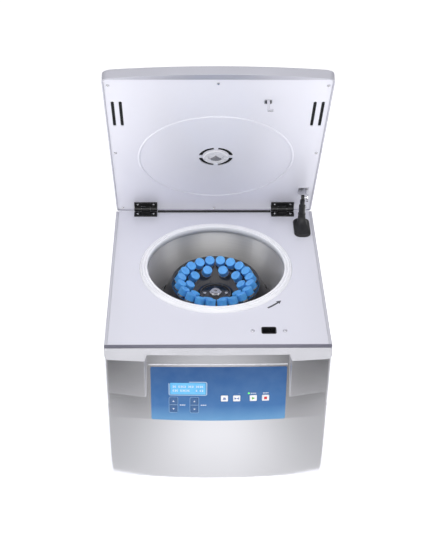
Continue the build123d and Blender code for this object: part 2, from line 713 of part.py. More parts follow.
# ---------------------------------------------------------------- strut boot and foot bracket
BOOT_HEIGHT = 5.0
BOOT_CORNER = 14.0
strut_boot = rounded_plate(BOOT_X0, BOOT_X1, BOOT_Y0, BOOT_Y1, 0, BOOT_HEIGHT, BOOT_CORNER)
strut_boot = fillet(strut_boot.edges().group_by(Axis.Z)[-1], 2.5)
boot_slot = rounded_plate(STRUT_X - SLOT_HALF, STRUT_X + SLOT_HALF, SLOT_Y0, SLOT_Y1, -3, 12, 8.0)
strut_boot = strut_boot - boot_slot
foot_z = -STRUT_FOOT_DROP
FOOT_PLATE_HALF = 16.0
foot_x1 = HALF - SHEET
foot_x0 = foot_x1 - 4.2
foot_y0 = STRUT_FOOT_Y - FOOT_PLATE_HALF
foot_y1 = STRUT_FOOT_Y + FOOT_PLATE_HALF
strut_foot = block(foot_x0, foot_x1, foot_y0, foot_y1, foot_z - FOOT_PLATE_HALF, foot_z + FOOT_PLATE_HALF)
strut_foot = strut_foot + rod_x(STRUT_X + 8, foot_x0, STRUT_FOOT_Y, foot_z, 5.0)

# ---------------------------------------------------------------- rear pieces
FAN_X = -95.0
FAN_Z = -235.0
FAN_HALF = 40.0
FAN_DEPTH = 25.0
REAR_Y = DEPTH
INLET_X = 130.0
INLET_Z = -268.0
rear_panel = block(-inside, inside, REAR_Y - SHEET, REAR_Y, -BASE_DROP + 0.2, -SHEET - 0.1)
rear_panel = rear_panel - rod_y(FAN_X, REAR_Y - 5, REAR_Y + 2, FAN_Z, 36.0)
INLET_HALF_X = 24.0
INLET_HALF_Z = 29.0
rear_panel = rear_panel - block(
    INLET_X - INLET_HALF_X,
    INLET_X + INLET_HALF_X,
    REAR_Y - 5,
    REAR_Y + 2,
    INLET_Z - INLET_HALF_Z,
    INLET_Z + INLET_HALF_Z,
)
for row in range(6):
    for column in range(2):
        vent_x = -30 + 60 * column
        vent_z = -150 - 9 * row
        rear_panel = rear_panel - block(vent_x - 25, vent_x + 25, REAR_Y - 5, REAR_Y + 2, vent_z - 2, vent_z + 2)

fan_back = REAR_Y - SHEET - FAN_DEPTH
fan_left = FAN_X - FAN_HALF
fan_right = FAN_X + FAN_HALF
fan_frame = block(fan_left, fan_right, fan_back, REAR_Y - SHEET, FAN_Z - FAN_HALF, FAN_Z + FAN_HALF)
fan_frame = fan_frame - rod_y(FAN_X, REAR_Y - 40, REAR_Y, FAN_Z, 37.5)
fan_frame = fan_frame + rod_y(FAN_X, fan_back, fan_back + 3, FAN_Z, 16.0)
for step in range(3):
    spoke = Pos(FAN_X, fan_back + 1.5, FAN_Z) * (Rot(0, 60 * step, 0) * Box(78, 3, 4))
    fan_frame = fan_frame + spoke
fan_frame = fan_frame + rod_y(FAN_X, fan_back + 3, fan_back + 8, FAN_Z, 2.0)

blade_y0 = fan_back + 4.0
fan_blades = rod_y(FAN_X, blade_y0, blade_y0 + 17, FAN_Z, 15.0)
BLADES = 7
for step in range(BLADES):
    blade = Pos(24, 0, 0) * (Rot(35, 0, 0) * Box(22, 1.6, 17))
    blade = Pos(FAN_X, blade_y0 + 8.5, FAN_Z) * (Rot(0, 360 / BLADES * step, 0) * blade)
    fan_blades = fan_blades + blade
fan_blades = fan_blades - rod_y(FAN_X, blade_y0 - 1, blade_y0 + 5, FAN_Z, 2.0 + PIN_CLEARANCE)

grille_y0 = REAR_Y
rear_grille = None
for ring_radius in (9.0, 16.0, 23.0, 30.0, 37.0):
    ring = rod_y(FAN_X, grille_y0 + 1.2, grille_y0 + 3.2, FAN_Z, ring_radius + 1.0)
    ring = ring - rod_y(FAN_X, grille_y0 - 1, grille_y0 + 5, FAN_Z, ring_radius - 1.0)
    rear_grille = ring if rear_grille is None else rear_grille + ring
for step in range(2):
    bar = Pos(FAN_X, grille_y0 + 1.0, FAN_Z) * (Rot(0, 45 + 90 * step, 0) * Box(106, 2.0, 3.0))
    rear_grille = rear_grille + bar

entry_face = REAR_Y + 2.5
power_entry = block(
    INLET_X - INLET_HALF_X - 3,
    INLET_X + INLET_HALF_X + 3,
    REAR_Y,
    entry_face,
    INLET_Z - INLET_HALF_Z - 3,
    INLET_Z + INLET_HALF_Z + 3,
)
power_entry = fillet(power_entry.edges().filter_by(Axis.Y), 3.0)
power_entry = power_entry + block(
    INLET_X - INLET_HALF_X + 0.2,
    INLET_X + INLET_HALF_X - 0.2,
    REAR_Y - 32,
    REAR_Y,
    INLET_Z - INLET_HALF_Z + 0.2,
    INLET_Z + INLET_HALF_Z - 0.2,
)
SOCKET_Z = INLET_Z - 13.0
SWITCH_Z = INLET_Z + 15.5
socket_cut = extrude(Plane.XZ * RectangleRounded(24, 16.5, 3.0), 18)
power_entry = power_entry - Pos(INLET_X, entry_face, SOCKET_Z) * socket_cut
for pin_index, (pin_x, pin_z) in enumerate(((-7, -2), (7, -2), (0, 3))):
    power_entry = power_entry + block(
        INLET_X + pin_x - 1,
        INLET_X + pin_x + 1,
        entry_face - 18.2,
        entry_face - 6,
        SOCKET_Z + pin_z - 2.2,
        SOCKET_Z + pin_z + 2.2,
    )
SWITCH_HALF_X = 14.0
SWITCH_HALF_Z = 9.5
power_entry = power_entry - block(
    INLET_X - SWITCH_HALF_X,
    INLET_X + SWITCH_HALF_X,
    entry_face - 14,
    entry_face + 1,
    SWITCH_Z - SWITCH_HALF_Z,
    SWITCH_Z + SWITCH_HALF_Z,
)
ROCKER_Y = entry_face - 5.0
rocker_points = [
    (-SWITCH_HALF_X + 1.5, 3.0),
    (-SWITCH_HALF_X + 1.5, -2.0),
    (0, -6.5),
    (SWITCH_HALF_X - 1.5, -2.0),
    (SWITCH_HALF_X - 1.5, 6.2),
    (0, 4.0),
]
rocker_face = make_face(Polyline(*rocker_points, close=True))
rocker_solid = extrude(rocker_face, 2 * SWITCH_HALF_Z - 1.0)
power_rocker = Pos(INLET_X, ROCKER_Y, SWITCH_Z - SWITCH_HALF_Z + 0.5) * rocker_solid
ROCKER_PIN = 1.8
pin_z0 = SWITCH_Z - SWITCH_HALF_Z - 1.8
pin_z1 = SWITCH_Z + SWITCH_HALF_Z + 1.8
power_rocker = power_rocker + rod_z(INLET_X, ROCKER_Y, pin_z0, pin_z1, ROCKER_PIN)
power_entry = power_entry - rod_z(INLET_X, ROCKER_Y, pin_z0 - 0.1, pin_z1 + 0.1, ROCKER_PIN + PIN_CLEARANCE)

power_unit = block(-198, -112, 350, 428, -BASE_DROP + SHEET, -BASE_DROP + SHEET + 62)
power_unit = power_unit + block(-190, -120, 358, 420, -BASE_DROP + SHEET + 62, -BASE_DROP + SHEET + 74)

side_screws = []
for side in (-1, 1):
    for screw_y in (40.0, 232.0, 425.0):
        head = rod_x(0, 2.0, 0, 0, 4.2)
        head = fillet(head.edges().sort_by(Axis.X)[-1], 1.3)
        head = head - Pos(2.0, 0, 0) * (Box(1.8, 0.9, 4.6) + Box(1.8, 4.6, 0.9))
        turn = Rot(0, 0, 0) if side > 0 else Rot(0, 0, 180)
        side_screws.append(Pos(side * HALF, screw_y, -BASE_DROP + 24) * (turn * head))
rear_screws = []
for rear_x, rear_z in ((-200, -20), (200, -20), (-200, -300), (200, -300), (0, -20)):
    head = rod_y(0, 0, 2.0, 0, 4.2)
    head = fillet(head.edges().sort_by(Axis.Y)[-1], 1.3)
    head = head - Pos(0, 2.0, 0) * (Box(0.9, 1.8, 4.6) + Box(4.6, 1.8, 0.9))
    rear_screws.append(Pos(rear_x, REAR_Y, rear_z) * head)

# ---------------------------------------------------------------- lid, drawn shut
# Local frame: the hinge axis is the origin, the lid reaches to -Y, its underside faces -Z.
def lid_outline(inset, corner_front, corner_back):
    half = LID_HALF_WIDTH - inset
    back = LID_REAR - inset
    front = -(LID_REACH + 2.0 - inset)
    nose = front - LID_BOW
    sides = Polyline((-half, front), (-half, back), (half, back), (half, front))
    face = make_face([sides, ThreePointArc((half, front), (0, nose), (-half, front))])
    face = fillet(face.vertices().filter_by(lambda v: v.Y < 0), corner_front)
    return fillet(face.vertices().filter_by(lambda v: v.Y > back - 0.5), corner_back)


lid_front = -(LID_REACH + LID_BOW + 2.0)
lid_low = LID_PLANE - 2.0
crown_side = make_face(
    [
        Polyline((LID_REAR + 1, LID_EDGE - 4), (LID_REAR + 1, 0), (lid_front - 1, 0), (lid_front - 1, LID_EDGE - 1)),
        ThreePointArc(
            (lid_front - 1, LID_EDGE - 1),
            ((LID_REAR + lid_front) / 2, LID_CROWN),
            (LID_REAR + 1, LID_EDGE - 4),
        ),
    ]
)
crown_front = make_face(
    [
        Polyline((LID_HALF_WIDTH + 1, LID_EDGE - 2), (LID_HALF_WIDTH + 1, 0), (-LID_HALF_WIDTH - 1, 0),
                 (-LID_HALF_WIDTH - 1, LID_EDGE - 2)),
        ThreePointArc(
            (-LID_HALF_WIDTH - 1, LID_EDGE - 2),
            (0, LID_CROWN + 2),
            (LID_HALF_WIDTH + 1, LID_EDGE - 2),
        ),
    ]
)
pillow = extrude(Plane.YZ * crown_side, LID_HALF_WIDTH + 20, both=True)
pillow = pillow & extrude(Plane.XZ * crown_front, 700, both=True)
lid_shell = (Pos(0, 0, lid_low) * extrude(lid_outline(0.0, 12.0, 8.0), 60)) & pillow
lid_hollow = extrude(lid_outline(LID_WALL, 9.0, 5.0), 60) & (Pos(0, 0, -LID_WALL) * pillow)
lid_hollow = lid_hollow + Pos(0, 0, lid_low - 1) * extrude(lid_outline(LID_WALL, 9.0, 5.0), 8)
lid_shell = lid_shell - lid_hollow
PLATE_SKIN = 1.5
lip_top = LID_PLANE + PLATE_SKIN
lid_lip = Pos(0, 0, lid_low) * extrude(lid_outline(0.0, 12.0, 8.0), lip_top - lid_low)
lid_lip = lid_lip & block(-HALF, HALF, lid_front - 1, -LID_REACH - 0.3, lid_low, lip_top)
lid_shell = lid_shell + lid_lip
lid_screw_spots = [
    (-203.5, -470.0),
    (0.0, -477.0),
    (203.5, -470.0),
    (-203.0, -229.0),
    (203.0, -229.0),
    (-201.0, 5.0),
    (0.0, 5.0),
    (201.0, 5.0),
]
for spot_x, spot_y in lid_screw_spots:
    boss = rod_z(spot_x, spot_y, LID_PLANE + PLATE_SKIN, 60, 5.0) & pillow
    lid_shell = lid_shell + boss

plate_face = lid_outline(LID_WALL + 0.2, 8.8, 4.8)
lid_plate = Pos(0, 0, LID_PLANE) * extrude(plate_face, PLATE_SKIN)
lid_plate = lid_plate & block(-LID_HALF_WIDTH, LID_HALF_WIDTH, -LID_REACH, LID_REAR, 0, 20)
lid_slots = [(-198.3, 6.0), (-183.4, 6.0), (184.0, 6.0), (199.4, 6.0)]
for slot_x, slot_width in lid_slots:
    cut = rounded_plate(slot_x - slot_width / 2, slot_x + slot_width / 2, -416, -331, 0, 20, 2.9)
    lid_plate = lid_plate - cut
PORT_HOLE = 23.0
SLOT_IN = 27.5
SLOT_OUT = 35.0
port_cut = rod_z(0, -PORT_REACH, 0, 20, PORT_HOLE)
arc_slots = rod_z(0, -PORT_REACH, 0, 20, SLOT_OUT) - rod_z(0, -PORT_REACH, -1, 21, SLOT_IN)
arc_slots = arc_slots - block(-80, 80, -PORT_REACH - 4.5, -PORT_REACH + 4.5, -1, 21)
arc_slots = arc_slots - block(-4.5, 4.5, -PORT_REACH - 80, -PORT_REACH + 80, -1, 21)
lid_plate = lid_plate - port_cut - arc_slots
RING_RADIUS = 156.2
RING_HALF = 2.6
ring_points = []
for step in range(9):
    angle_r = math.radians(180 + 22.5 * step)
    ring_points.append((RING_RADIUS + RING_HALF * math.cos(angle_r), LID_PLANE + 1.9 * math.sin(angle_r)))
lid_ring = spun(ring_points, 0, -LID_RING_REACH)
lid_port = spun(
    [
        (PORT_HOLE - 8.0, LID_PLANE - 1.5),
        (PORT_HOLE - 6.5, LID_PLANE - 3.0),
        (PORT_HOLE + 0.5, LID_PLANE - 3.0),
        (PORT_HOLE + 2.5, LID_PLANE - 1.0),
        (PORT_HOLE + 2.5, LID_PLANE),
        (PORT_HOLE - 0.2, LID_PLANE),
        (PORT_HOLE - 0.2, LID_PLANE + 4.0),
        (PORT_HOLE - 8.0, LID_PLANE + 4.0),
    ],
    0,
    -PORT_REACH,
)
lid_port = lid_port + spun(
    [
        (0, LID_PLANE - 4.5),
        (3.0, LID_PLANE - 4.0),
        (PORT_HOLE - 8.2, LID_PLANE - 0.5),
        (PORT_HOLE - 8.0, LID_PLANE + 4.0),
        (0, LID_PLANE + 4.0),
    ],
    0,
    -PORT_REACH,
)
lid_screws = []
for spot_x, spot_y in lid_screw_spots:
    lid_screws.append(Pos(spot_x, spot_y, LID_PLANE) * (Rot(180, 0, 0) * screw_z(0, 0, 0)))

CATCH_X = LOCK_X - 2.5
CATCH_Y = LOCK_Y - DEPTH
CATCH_TIP = -19.0
CATCH_BAR = 2.6
CATCH_FOOT = 9.0
lid_catch = block(CATCH_X - 7, CATCH_X + 7, CATCH_Y - 1.2, CATCH_Y + 11, LID_PLANE - 1.6, LID_PLANE)
catch_bar = block(CATCH_X - CATCH_BAR, CATCH_X + CATCH_BAR, CATCH_Y - 1.2, CATCH_Y + 1.2, CATCH_TIP, LID_PLANE)
catch_foot = block(CATCH_X - CATCH_BAR, CATCH_X + CATCH_FOOT, CATCH_Y - 1.2, CATCH_Y + 1.2, CATCH_TIP, CATCH_TIP + 4)
catch_hook = fillet((catch_bar + catch_foot).edges().filter_by(Axis.Y), 0.9)
lid_catch = lid_catch + catch_hook

hinge_leaves_upper = []
hinge_screws_upper = []
LEAF_REACH = 20.0
for side in (-1, 1):
    x_mid = side * HINGE_X
    x_lo = x_mid - HINGE_WIDTH / 2
    x_hi = x_mid + HINGE_WIDTH / 2
    leaf = block(x_lo, x_hi, -LEAF_REACH, -KNUCKLE_RADIUS - 0.6, LID_PLANE - LEAF, LID_PLANE)
    for x0, x1 in ((x_lo, x_mid - KNUCKLE_HALF - 0.4), (x_mid + KNUCKLE_HALF + 0.4, x_hi)):
        leaf = leaf + rod_x(x0, x1, 0, 0, KNUCKLE_RADIUS)
        leaf = leaf + block(x0, x1, -KNUCKLE_RADIUS - 1.5, 0, 1.5, LID_PLANE)
    leaf = leaf - rod_x(x_lo - 1, x_hi + 1, 0, 0, PIN_RADIUS + PIN_CLEARANCE)
    hinge_leaves_upper.append(leaf)
    for screw_side in (-1, 1):
        spot = Pos(x_mid + screw_side * 17, -LEAF_REACH + 6.0, LID_PLANE - LEAF)
        hinge_screws_upper.append(spot * (Rot(180, 0, 0) * screw_z(0, 0, 0, 2.4, 1.2)))

STUD_X0 = STRUT_X - 4.0
strut_bracket = block(STRUT_X - 9, STRUT_X + 13.0, -STRUT_REACH - 14, -STRUT_REACH + 14, LID_PLANE - 2, LID_PLANE)
strut_arm = block(STRUT_X + 8.0, STRUT_X + 11.0, -STRUT_REACH - 9, -STRUT_REACH + 9, STRUT_OFFSET, LID_PLANE)
strut_arm = strut_arm + rod_x(STRUT_X + 8.0, STRUT_X + 11.0, -STRUT_REACH, STRUT_OFFSET, 9.0)
strut_bracket = strut_bracket + strut_arm
strut_bracket = strut_bracket + rod_x(STUD_X0, STRUT_X + 8.0, -STRUT_REACH, STRUT_OFFSET, 3.0)

opening = Pos(0, DEPTH, HINGE_HEIGHT) * Rot(-LID_OPEN_ANGLE, 0, 0)

# ---------------------------------------------------------------- strut, drawn with the lid open
open_r = math.radians(LID_OPEN_ANGLE)
stud_y = DEPTH - STRUT_REACH * math.cos(open_r) + STRUT_OFFSET * math.sin(open_r)
stud_z = HINGE_HEIGHT + STRUT_REACH * math.sin(open_r) + STRUT_OFFSET * math.cos(open_r)
run_y = STRUT_FOOT_Y - stud_y
run_z = foot_z - stud_z
strut_length = math.hypot(run_y, run_z)
lean = math.degrees(math.atan2(run_y, -run_z))
strut_place = Pos(STRUT_X, stud_y, stud_z) * Rot(lean, 0, 0)
# Local frame: the upper pivot is the origin and -Z runs down the strut.
EYE_RADIUS = 6.5
NECK_LENGTH = 17.0
NECK_RADIUS = 5.2
CYLINDER_END = 150.0
eye = rod_x(-3.5, 3.5, 0, 0, EYE_RADIUS) - rod_x(-5, 5, 0, 0, 3.0 + PIN_CLEARANCE)
neck = rod_z(0, 0, -NECK_LENGTH, -5.5, NECK_RADIUS) - rod_x(-5, 5, 0, 0, 3.0 + PIN_CLEARANCE)
barrel = rod_z(0, 0, -CYLINDER_END, -NECK_LENGTH, STRUT_RADIUS)
barrel = fillet(barrel.edges().filter_by(GeomType.CIRCLE), 1.5)
rod_bore = rod_z(0, 0, -CYLINDER_END - 1, -NECK_LENGTH - 8, STRUT_ROD_RADIUS + PIN_CLEARANCE)
strut_cylinder = strut_place * (eye + neck + barrel - rod_bore)
rod_part = rod_z(0, 0, -strut_length + 5.0, -CYLINDER_END + 30, STRUT_ROD_RADIUS)
foot_eye = rod_x(-4, 4, 0, -strut_length, 7.5) - rod_x(-6, 6, 0, -strut_length, 4.0)
strut_rod = strut_place * (rod_part + foot_eye)

# ---------------------------------------------------------------- collect and write
fixed = {
    "base_plate": base_plate,
    "feet": group(feet),
    "front_fascia": fascia,
    "front_edge_trim": front_edge_trim,
    "keypad_membrane": membrane,
    "display_window": window,
    "status_led": status_led,
    "control_board": control_board,
    "front_bulkhead": front_bulkhead,
    "rear_panel": rear_panel,
    "top_plate": top_plate,
    "rotation_arrow": rotation_arrow,
    "bowl_gasket": group(bowl_gasket),
    "chamber_bowl": group(chamber_bowl),
    "guard_ring": guard_ring,
    "motor_housing": motor_housing,
    "motor_bracket": bracket,
    "lock_body": group(lock_blocks),
    "deck_screws": group(lock_screws + hinge_screws_lower),
    "lock_bolt": lock_bolt,
    "hinge_leaves_lower": group(hinge_leaves_lower),
    "hinge_pins": group(hinge_pins),
    "strut_boot": strut_boot,
    "strut_foot": strut_foot,
    "fan_frame": fan_frame,
    "fan_blades": fan_blades,
    "rear_grille": rear_grille,
    "power_entry": power_entry,
    "power_rocker": power_rocker,
    "power_unit": power_unit,
    "case_screws": group(side_screws + rear_screws),
    "drive_shaft": drive_shaft,
    "rotor_body": rotor_body,
    "rotor_nut": rotor_nut,
    "hub_screws": group(hub_screws),
    "tube_sleeves": group(tube_sleeves),
    "rack_tubes": group(rack_tubes),
    "rack_caps": group(rack_caps),
    "pick_tube": pick_tube,
    "pick_cap": pick_cap,
    "strut_cylinder": strut_cylinder,
    "strut_rod": strut_rod,
}
fixed.update(side_panels)
fixed.update(keys)
on_lid = {
    "lid_shell": lid_shell,
    "lid_plate": lid_plate,
    "lid_ring": lid_ring,
    "lid_port": lid_port,
    "lid_screws": group(lid_screws + hinge_screws_upper),
    "lid_catch": lid_catch,
    "hinge_leaves_upper": group(hinge_leaves_upper),
    "strut_bracket": strut_bracket,
}
for name, shape in on_lid.items():
    fixed[name] = opening * shape

place_all = Pos(0, CENTRE_SHIFT_Y, PLATE_HEIGHT)
os.makedirs("parts", exist_ok=True)
for name in sorted(fixed):
    moved = place_all * fixed[name]
    export_step(moved, os.path.join("parts", name + ".step"))
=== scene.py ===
import json
import math

import bmesh
import bpy
from mathutils import Matrix, Vector


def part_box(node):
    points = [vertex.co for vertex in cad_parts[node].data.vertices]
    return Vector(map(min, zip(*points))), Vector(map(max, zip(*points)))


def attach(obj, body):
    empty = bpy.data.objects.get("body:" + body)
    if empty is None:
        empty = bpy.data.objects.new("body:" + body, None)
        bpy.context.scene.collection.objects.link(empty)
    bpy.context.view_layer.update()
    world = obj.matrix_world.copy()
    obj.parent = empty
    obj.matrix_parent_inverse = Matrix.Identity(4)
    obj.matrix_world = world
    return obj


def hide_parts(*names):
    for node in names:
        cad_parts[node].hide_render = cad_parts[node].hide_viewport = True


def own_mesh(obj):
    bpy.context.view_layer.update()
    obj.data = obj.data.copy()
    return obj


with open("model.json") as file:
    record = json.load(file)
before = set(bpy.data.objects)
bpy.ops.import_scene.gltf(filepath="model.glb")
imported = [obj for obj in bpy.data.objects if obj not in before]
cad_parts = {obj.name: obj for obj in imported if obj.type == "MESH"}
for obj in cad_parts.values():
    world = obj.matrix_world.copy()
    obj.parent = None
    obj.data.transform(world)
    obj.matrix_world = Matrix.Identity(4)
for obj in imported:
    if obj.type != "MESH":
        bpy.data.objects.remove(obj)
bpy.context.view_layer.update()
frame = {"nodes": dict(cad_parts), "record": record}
sc = bpy.context.scene
nodes = frame["nodes"]
slot_of = {part["node"]: part["material_slot"] for part in frame["record"]["subparts"]}

MM = 0.001
deck_low, deck_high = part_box("top_plate")
DECK_FRONT = deck_low.y
DECK_Z = deck_high.z


def deck_point(x, y, z):
    """Millimetres from the middle of the deck's front edge, as a point in the row frame."""
    return Vector((x * MM, DECK_FRONT + y * MM, DECK_Z + z * MM))


# ---------------------------------------------------------------- materials
class Paint:
    """A node material with a few short ways to wire it."""

    def __init__(self, name):
        self.mat = bpy.data.materials.new(name)
        self.mat.use_nodes = True
        self.tree = self.mat.node_tree
        self.shader = self.tree.nodes["Principled BSDF"]
        self.coord = self.new("ShaderNodeTexCoord").outputs["Object"]

    def new(self, kind):
        return self.tree.nodes.new(kind)

    def link(self, a, b):
        self.tree.links.new(a, b)

    def set(self, **values):
        for key, value in values.items():
            self.shader.inputs[key.replace("_", " ")].default_value = value

    def stretched(self, scale):
        mapping = self.new("ShaderNodeMapping")
        mapping.inputs["Scale"].default_value = scale
        self.link(self.coord, mapping.inputs["Vector"])
        return mapping.outputs["Vector"]

    def noise(self, scale, detail=3.0, vector=None, rough=0.5):
        tex = self.new("ShaderNodeTexNoise")
        tex.inputs["Scale"].default_value = scale
        tex.inputs["Detail"].default_value = detail
        tex.inputs["Roughness"].default_value = rough
        self.link(vector if vector is not None else self.coord, tex.inputs["Vector"])
        return tex.outputs["Fac"]

    def ramp(self, value, stops):
        ramp = self.new("ShaderNodeValToRGB")
        while len(ramp.color_ramp.elements) < len(stops):
            ramp.color_ramp.elements.new(0.5)
        for element, (place, colour) in zip(ramp.color_ramp.elements, stops):
            element.position = place
            element.color = (*colour, 1.0)
        self.link(value, ramp.inputs["Fac"])
        return ramp.outputs["Color"]

    def span(self, value, low, high, from_low=0.3, from_high=0.7):
        node = self.new("ShaderNodeMapRange")
        node.inputs["From Min"].default_value = from_low
        node.inputs["From Max"].default_value = from_high
        node.inputs["To Min"].default_value = low
        node.inputs["To Max"].default_value = high
        self.link(value, node.inputs["Value"])
        return node.outputs["Result"]

    def axis(self, name):
        split = self.new("ShaderNodeSeparateXYZ")
        self.link(self.coord, split.inputs["Vector"])
        return split.outputs[name]

    def mix(self, factor, a, b, mode="MIX"):
        node = self.new("ShaderNodeMix")
        node.data_type = "RGBA"
        node.blend_type = mode
        if isinstance(factor, float):
            node.inputs["Factor"].default_value = factor
        else:
            self.link(factor, node.inputs["Factor"])
        for value, socket in ((a, node.inputs["A"]), (b, node.inputs["B"])):
            if isinstance(value, tuple):
                socket.default_value = (*value, 1.0)
            else:
                self.link(value, socket)
        return node.outputs["Result"]

    def rounded(self, radius):
        node = self.new("ShaderNodeBevel")
        node.samples = 4
        node.inputs["Radius"].default_value = radius
        return node.outputs["Normal"]

    def bump(self, value, strength, distance=0.0001, normal=None):
        node = self.new("ShaderNodeBump")
        node.inputs["Strength"].default_value = strength
        node.inputs["Distance"].default_value = distance
        self.link(value, node.inputs["Height"])
        if normal is not None:
            self.link(normal, node.inputs["Normal"])
        self.link(node.outputs["Normal"], self.shader.inputs["Normal"])
        return node.outputs["Normal"]

    def colour(self, socket):
        self.link(socket, self.shader.inputs["Base Color"])

    def rough(self, socket):
        self.link(socket, self.shader.inputs["Roughness"])


def shade(colour, factor):
    return tuple(min(1.0, c * factor) for c in colour)


def mottled(name, colour, spread, scale, rough, grain=900.0, bump=0.1, metallic=0.0, coat=0.0, edge=0.0008):
    """Paint, plastic or rubber: faint tone changes, uneven roughness and a fine grain."""
    p = Paint(name)
    p.set(Metallic=metallic, Coat_Weight=coat)
    tone = p.noise(scale, 1.0)
    p.colour(p.ramp(tone, [(0.0, shade(colour, 1 - spread)), (1.0, shade(colour, 1 + spread))]))
    p.rough(p.span(p.noise(scale * 2, 1.0), *rough, 0.0, 1.0))
    if bump:
        p.bump(p.noise(grain, 2.0), bump, normal=p.rounded(edge) if edge else None)
    elif edge:
        p.link(p.rounded(edge), p.shader.inputs["Normal"])
    return p


def brushed(name, colour, rough, stretch, scale, bump, anisotropic):
    """Metal with a grain that runs one way."""
    p = Paint(name)
    p.set(Metallic=1.0, Anisotropic=anisotropic)
    vector = p.stretched(stretch)
    grain = p.noise(scale, 6.0, vector, 0.65)
    p.colour(p.ramp(grain, [(0.25, shade(colour, 0.86)), (0.75, shade(colour, 1.08))]))
    p.rough(p.span(grain, *rough))
    p.bump(grain, bump, 0.0002, p.rounded(0.0006))
    return p


def bowl_steel():
    """Turned stainless sheet: the grain runs round the bowl and highlights stretch up and down it."""
    p = Paint("stainless")
    p.set(Metallic=0.9, Anisotropic=0.95, Anisotropic_Rotation=0.25)
    grain = p.noise(5.0, 6.0, p.stretched((2.0, 2.0, 260.0)), 0.65)
    p.colour(p.ramp(grain, [(0.25, (0.84, 0.83, 0.82)), (0.75, (0.94, 0.93, 0.92))]))
    p.rough(p.span(grain, 0.54, 0.62))
    tangent = p.new("ShaderNodeTangent")
    tangent.direction_type = "RADIAL"
    tangent.axis = "Z"
    p.link(tangent.outputs["Tangent"], p.shader.inputs["Tangent"])
    return p


def polished(name, colour, rough):
    """Bright metal with faint smears."""
    p = Paint(name)
    p.set(Metallic=1.0)
    smear = p.noise(60.0, 4.0)
    p.colour(p.ramp(smear, [(0.3, shade(colour, 0.93)), (0.7, shade(colour, 1.04))]))
    p.rough(p.span(smear, *rough))
    p.bump(p.noise(700.0, 2.0), 0.05, 0.0002, p.rounded(0.0004))
    return p


# Each row: colour, tone spread, size of the mottling, roughness range, other settings.
SMOOTH = {"bump": 0.0}
MOTTLED = {
    "case_paint": ((0.66, 0.66, 0.72), 0.02, 9.0, (0.30, 0.38), {"metallic": 0.25, "coat": 0.25, **SMOOTH}),
    "deck_paint": ((0.77, 0.77, 0.84), 0.015, 5.0, (0.28, 0.33), {"metallic": 0.10, "coat": 0.3, **SMOOTH}),
    "fascia_silver": (
        (0.74, 0.74, 0.78), 0.02, 8.0, (0.23, 0.28), {"metallic": 0.97, "edge": 0.0015, **SMOOTH},
    ),
    "lid_silver": (
        (0.62, 0.62, 0.68), 0.02, 8.0, (0.30, 0.38), {"metallic": 0.6, "coat": 0.2, "edge": 0.0015, **SMOOTH},
    ),
    "lid_plate_paint": (
        (0.84, 0.84, 0.91), 0.015, 5.0, (0.36, 0.42), {"metallic": 0.2, "coat": 0.1, **SMOOTH},
    ),
    "white_seal": (
        (0.92, 0.92, 0.95), 0.015, 14.0, (0.16, 0.24), {"grain": 700.0, "bump": 0.03, "coat": 0.5},
    ),
    "white_plastic": ((0.72, 0.72, 0.76), 0.02, 40.0, (0.22, 0.32), {"bump": 0.05}),
    "black_rubber": ((0.009, 0.009, 0.010), 0.2, 40.0, (0.36, 0.48), {"grain": 600.0, "bump": 0.12}),
    # painted shade: the dark grey strip along the deck's front edge stands in for the shade of the gap between
    # the top plate and the fascia.
    "trim_grey": (
        (0.20, 0.20, 0.25), 0.05, 20.0, (0.3, 0.4), {"metallic": 0.3, "coat": 0.2, "edge": 0.0005, **SMOOTH},
    ),
    "foot_rubber": ((0.02, 0.02, 0.02), 0.2, 40.0, (0.7, 0.85), {"grain": 500.0, "bump": 0.3}),
    "black_plastic": ((0.018, 0.018, 0.020), 0.15, 30.0, (0.35, 0.5), {"grain": 800.0, "bump": 0.25}),
    "black_metal": ((0.012, 0.012, 0.013), 0.15, 50.0, (0.25, 0.36), {"bump": 0.15}),
    "strut_black": ((0.008, 0.008, 0.009), 0.15, 50.0, (0.28, 0.38), {"bump": 0.05, "coat": 0.1}),
    "rotor_black": ((0.012, 0.012, 0.014), 0.2, 26.0, (0.10, 0.18), {"bump": 0.03, "coat": 0.8}),
    "guard_steel": ((0.10, 0.10, 0.11), 0.1, 26.0, (0.4, 0.5), {}),
    "dark_print": ((0.07, 0.07, 0.08), 0.1, 60.0, (0.4, 0.5), {"edge": 0}),
    "circuit_board": ((0.02, 0.20, 0.08), 0.2, 80.0, (0.35, 0.5), {"bump": 0.2}),
    "key_white": ((0.86, 0.86, 0.88), 0.02, 90.0, (0.3, 0.4), {"grain": 1500.0, "bump": 0.05}),
    "key_blue": ((0.045, 0.13, 0.31), 0.06, 90.0, (0.3, 0.42), {"grain": 1500.0, "bump": 0.05}),
}
# Each row: colour, roughness range, grain stretch, grain scale, bump, anisotropy.
BRUSHED = {
    "zinc_sheet": ((0.58, 0.59, 0.61), (0.32, 0.5), (30.0, 30.0, 30.0), 3.0, 0.05, 0.0),
    "motor_aluminium": ((0.55, 0.55, 0.57), (0.4, 0.55), (60.0, 60.0, 60.0), 3.0, 0.2, 0.0),
    "sleeve_steel": ((0.55, 0.55, 0.57), (0.2, 0.35), (40.0, 40.0, 140.0), 6.0, 0.05, 0.3),
}
POLISHED = {
    "bright_steel": ((0.72, 0.72, 0.74), (0.10, 0.22)),
    "chrome_wire": ((0.74, 0.74, 0.76), (0.06, 0.14)),
}
